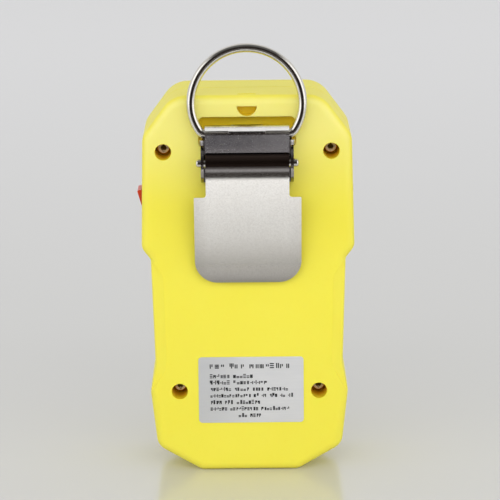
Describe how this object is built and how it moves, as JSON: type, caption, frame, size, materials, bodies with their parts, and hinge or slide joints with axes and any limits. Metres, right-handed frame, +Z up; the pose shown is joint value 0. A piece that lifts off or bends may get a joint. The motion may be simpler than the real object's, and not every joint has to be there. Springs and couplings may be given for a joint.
{
  "type": "portable gas detector",
  "caption": "Pocket gas detector in a moulded case, with a spring clip and a swinging ring on its back, a side rocker switch, a display, keys and a round sensor cap.",
  "frame": {"origin": "centre of the case's flat foot, at the height it stands on and on the middle of the case's width and depth", "axes": "+Z up the case's height, the display faces -Y, the clip is on the +Y face, and the rocker switch is on the +X side"},
  "size_m": [0.0611, 0.0388, 0.1237],
  "materials": {
    "yellow_plastic": "satin moulded ABS",
    "clip_steel": "satin stainless sheet",
    "bright_steel": "polished wire",
    "spring_steel": "drawn wire",
    "screw_steel": "zinc plated",
    "brass": "turned",
    "label_film": "silver polyester film",
    "rocker_red": "gloss",
    "switch_black": "moulded",
    "seal_rubber": "matt",
    "cover_rubber": "matt",
    "plate_grey": "textured film",
    "window_clear": "clear, hard coated",
    "lcd_green": "reflective display",
    "key_rubber": "matt",
    "sensor_black": "textured",
    "filter_white": "porous membrane",
    "sensor_body": "moulded",
    "alarm_red": "translucent",
    "board_green": "solder mask",
    "chip_black": "moulded",
    "cell_blue": "shrink sleeve",
    "foam": "closed-cell foam",
    "can_steel": "drawn can"
  },
  "bodies": {
    "case": {"rear_shell": "yellow_plastic", "front_shell": "yellow_plastic", "case_seal": "seal_rubber", "case_screws": "screw_steel", "screw_inserts": "brass", "clip_base": "clip_steel", "clip_pin": "bright_steel", "clip_spring": "spring_steel", "clip_rivets": "bright_steel", "rating_label": "label_film", "switch_housing": "switch_black", "charge_socket": "can_steel", "face_plate": "plate_grey", "lcd_window": "window_clear", "lcd_module": "lcd_green", "keypad_mat": "cover_rubber", "sensor_cap": "sensor_black", "sensor_filter": "filter_white", "sensor_gasket": "seal_rubber", "gas_sensor": "sensor_body", "sensor_board": "board_green", "alarm_lenses": "alarm_red", "alarm_leds": "alarm_red", "main_board": "board_green", "board_chips": "chip_black", "board_screws": "screw_steel", "battery_cell": "cell_blue", "battery_pad": "foam", "buzzer": "chip_black", "vibration_motor": "can_steel"},
    "lever": {"clip_lever": "clip_steel"},
    "ring": {"d_ring": "bright_steel"},
    "rocker": {"switch_rocker": "rocker_red"},
    "cover": {"socket_cover": "cover_rubber"},
    "key_left_body": {"key_left": "key_rubber"},
    "key_middle_body": {"key_middle": "key_rubber"},
    "key_right_body": {"key_right": "key_rubber"},
    "weight": {"motor_weight": "brass"}
  },
  "joints": [
    {"name": "lever_hinge", "type": "hinge", "parent": "case", "child": "lever", "pos_m": [0, 0.0194, 0.0909], "axis": [1, 0, 0], "range_deg": [0, 85], "stiffness_Nm_per_rad": 0.05, "springref_deg": -57.3, "deforming": ["clip_spring"]},
    {"name": "ring_swing", "type": "hinge", "parent": "case", "child": "ring", "pos_m": [0, 0.0174, 0.0988], "axis": [-1, 0, 0], "range_deg": [0, 97]},
    {"name": "rocker_tilt", "type": "hinge", "parent": "case", "child": "rocker", "pos_m": [0.0272, 0.0056, 0.0762], "axis": [0, -1, 0], "range_deg": [0, 18]},
    {"name": "cover_hinge", "type": "hinge", "parent": "case", "child": "cover", "pos_m": [-0.0298, 0.0056, 0.0698], "axis": [0, -1, 0], "range_deg": [0, 110]},
    {"name": "key_left_press", "type": "slide", "parent": "case", "child": "key_left_body", "axis": [0, 1, 0], "range_m": [0, 0.0006], "stiffness_N_per_m": 1500, "springref_m": -0.0004},
    {"name": "key_middle_press", "type": "slide", "parent": "case", "child": "key_middle_body", "axis": [0, 1, 0], "range_m": [0, 0.0006], "stiffness_N_per_m": 1500, "springref_m": -0.0004},
    {"name": "key_right_press", "type": "slide", "parent": "case", "child": "key_right_body", "axis": [0, 1, 0], "range_m": [0, 0.0006], "stiffness_N_per_m": 1500, "springref_m": -0.0004},
    {"name": "weight_spin", "type": "hinge", "parent": "case", "child": "weight", "pos_m": [0, -0.0027, 0.0695], "axis": [1, 0, 0], "continuous": true}
  ]
}
